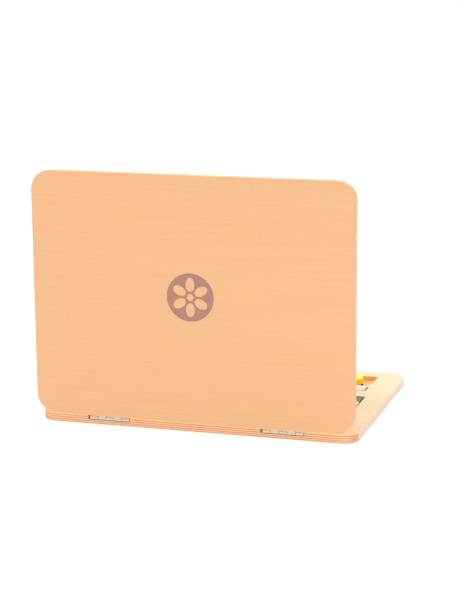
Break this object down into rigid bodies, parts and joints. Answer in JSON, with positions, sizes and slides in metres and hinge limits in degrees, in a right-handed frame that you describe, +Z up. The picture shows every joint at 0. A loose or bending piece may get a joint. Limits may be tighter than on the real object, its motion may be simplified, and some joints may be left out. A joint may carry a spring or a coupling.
{
  "type": "toy laptop computer",
  "caption": "Wooden toy laptop with a hinged lid that holds a magnetic chalkboard, and a base with trays for loose magnetic shapes, chalk and a board eraser.",
  "frame": {"origin": "centre of the base's underside", "axes": "+X across the toy to the right of someone sitting at its front, +Y from the front edge to the hinges, +Z up"},
  "size_m": [0.3, 0.2312, 0.2347],
  "materials": {
    "plywood_base": "sanded beech plywood, satin lacquer, ply lines on the edges",
    "plywood_lid": "beech veneer, satin lacquer, printed roundel on the outside",
    "hinge_steel": "plated steel, slightly brushed",
    "pin_steel": "plain drawn steel",
    "screw_steel": "plated steel",
    "board_lacquer": "matt blackboard lacquer on thin steel sheet",
    "eraser_plastic": "moulded yellow plastic, satin",
    "felt": "pressed black felt",
    "chalk": "dry white chalk",
    "magnet_sheet": "flexible magnet sheet, matt",
    "tile_teal": "painted wood, satin",
    "tile_yellow": "painted wood, satin",
    "tile_red": "painted wood, satin",
    "tile_blue": "painted wood, satin",
    "tile_green": "painted wood, satin"
  },
  "bodies": {
    "base": {"base_plate": "plywood_base", "base_tray_layer": "plywood_base", "base_hinge_leaf_left": "hinge_steel", "base_hinge_leaf_right": "hinge_steel", "hinge_pin_left": "pin_steel", "hinge_pin_right": "pin_steel", "base_screws": "screw_steel"},
    "lid": {"lid_panel": "plywood_lid", "lid_frame": "plywood_lid", "chalkboard": "board_lacquer", "lid_hinge_leaf_left": "hinge_steel", "lid_hinge_leaf_right": "hinge_steel", "lid_screws": "screw_steel"},
    "eraser": {"eraser_body": "eraser_plastic", "eraser_felt": "felt"},
    "chalk_stick_front": {"chalk_front": "chalk"},
    "chalk_stick_rear": {"chalk_rear": "chalk"},
    "loose_bar_teal": {"tile_bar_teal": "tile_teal", "magnet_bar_teal": "magnet_sheet"},
    "loose_bar_yellow": {"tile_bar_yellow": "tile_yellow", "magnet_bar_yellow": "magnet_sheet"},
    "loose_square_teal": {"tile_square_teal": "tile_teal", "magnet_square_teal": "magnet_sheet"},
    "loose_triangle_red": {"tile_triangle_red": "tile_red", "magnet_triangle_red": "magnet_sheet"},
    "loose_disc_blue": {"tile_disc_blue": "tile_blue", "magnet_disc_blue": "magnet_sheet"},
    "loose_hexagon_green": {"tile_hexagon_green": "tile_green", "magnet_hexagon_green": "magnet_sheet"},
    "loose_rhombus_teal": {"tile_rhombus_teal": "tile_teal", "magnet_rhombus_teal": "magnet_sheet"},
    "loose_triangle_yellow": {"tile_triangle_yellow": "tile_yellow", "magnet_triangle_yellow": "magnet_sheet"},
    "loose_square_red": {"tile_square_red": "tile_red", "magnet_square_red": "magnet_sheet"},
    "loose_half_disc_blue": {"tile_half_disc_blue": "tile_blue", "magnet_half_disc_blue": "magnet_sheet"},
    "loose_bar_green": {"tile_bar_green": "tile_green", "magnet_bar_green": "magnet_sheet"},
    "loose_disc_yellow": {"tile_disc_yellow": "tile_yellow", "magnet_disc_yellow": "magnet_sheet"},
    "loose_triangle_blue": {"tile_triangle_blue": "tile_blue", "magnet_triangle_blue": "magnet_sheet"},
    "loose_half_disc_red": {"tile_half_disc_red": "tile_red", "magnet_half_disc_red": "magnet_sheet"},
    "loose_square_blue": {"tile_square_blue": "tile_blue", "magnet_square_blue": "magnet_sheet"},
    "loose_hexagon_yellow": {"tile_hexagon_yellow": "tile_yellow", "magnet_hexagon_yellow": "magnet_sheet"},
    "loose_rhombus_red": {"tile_rhombus_red": "tile_red", "magnet_rhombus_red": "magnet_sheet"}
  },
  "joints": [
    {"name": "lid_hinge", "type": "hinge", "parent": "base", "child": "lid", "pos_m": [0, 0.1109, 0.0063], "axis": [-1, 0, 0], "range_deg": [-90, 68]},
    {"name": "eraser_lift", "type": "slide", "parent": "base", "child": "eraser", "axis": [0, 0, 1], "range_m": [0, 0.04]},
    {"name": "chalk_front_lift", "type": "slide", "parent": "base", "child": "chalk_stick_front", "axis": [0, 0, 1], "range_m": [0, 0.03]},
    {"name": "chalk_rear_lift", "type": "slide", "parent": "base", "child": "chalk_stick_rear", "axis": [0, 0, 1], "range_m": [0, 0.03]},
    {"name": "lift_bar_teal", "type": "slide", "parent": "base", "child": "loose_bar_teal", "axis": [0, 0, 1], "range_m": [0, 0.03]},
    {"name": "lift_bar_yellow", "type": "slide", "parent": "base", "child": "loose_bar_yellow", "axis": [0, 0, 1], "range_m": [0, 0.03]},
    {"name": "lift_square_teal", "type": "slide", "parent": "base", "child": "loose_square_teal", "axis": [0, 0, 1], "range_m": [0, 0.03]},
    {"name": "lift_triangle_red", "type": "slide", "parent": "base", "child": "loose_triangle_red", "axis": [0, 0, 1], "range_m": [0, 0.03]},
    {"name": "lift_disc_blue", "type": "slide", "parent": "base", "child": "loose_disc_blue", "axis": [0, 0, 1], "range_m": [0, 0.03]},
    {"name": "lift_hexagon_green", "type": "slide", "parent": "base", "child": "loose_hexagon_green", "axis": [0, 0, 1], "range_m": [0, 0.03]},
    {"name": "lift_rhombus_teal", "type": "slide", "parent": "base", "child": "loose_rhombus_teal", "axis": [0, 0, 1], "range_m": [0, 0.03]},
    {"name": "lift_triangle_yellow", "type": "slide", "parent": "base", "child": "loose_triangle_yellow", "axis": [0, 0, 1], "range_m": [0, 0.03]},
    {"name": "lift_square_red", "type": "slide", "parent": "base", "child": "loose_square_red", "axis": [0, 0, 1], "range_m": [0, 0.03]},
    {"name": "lift_half_disc_blue", "type": "slide", "parent": "base", "child": "loose_half_disc_blue", "axis": [0, 0, 1], "range_m": [0, 0.03]},
    {"name": "lift_bar_green", "type": "slide", "parent": "base", "child": "loose_bar_green", "axis": [0, 0, 1], "range_m": [0, 0.03]},
    {"name": "lift_disc_yellow", "type": "slide", "parent": "base", "child": "loose_disc_yellow", "axis": [0, 0, 1], "range_m": [0, 0.03]},
    {"name": "lift_triangle_blue", "type": "slide", "parent": "base", "child": "loose_triangle_blue", "axis": [0, 0, 1], "range_m": [0, 0.03]},
    {"name": "lift_half_disc_red", "type": "slide", "parent": "base", "child": "loose_half_disc_red", "axis": [0, 0, 1], "range_m": [0, 0.03]},
    {"name": "lift_square_blue", "type": "slide", "parent": "base", "child": "loose_square_blue", "axis": [0, 0, 1], "range_m": [0, 0.03]},
    {"name": "lift_hexagon_yellow", "type": "slide", "parent": "base", "child": "loose_hexagon_yellow", "axis": [0, 0, 1], "range_m": [0, 0.03]},
    {"name": "lift_rhombus_red", "type": "slide", "parent": "base", "child": "loose_rhombus_red", "axis": [0, 0, 1], "range_m": [0, 0.03]}
  ]
}
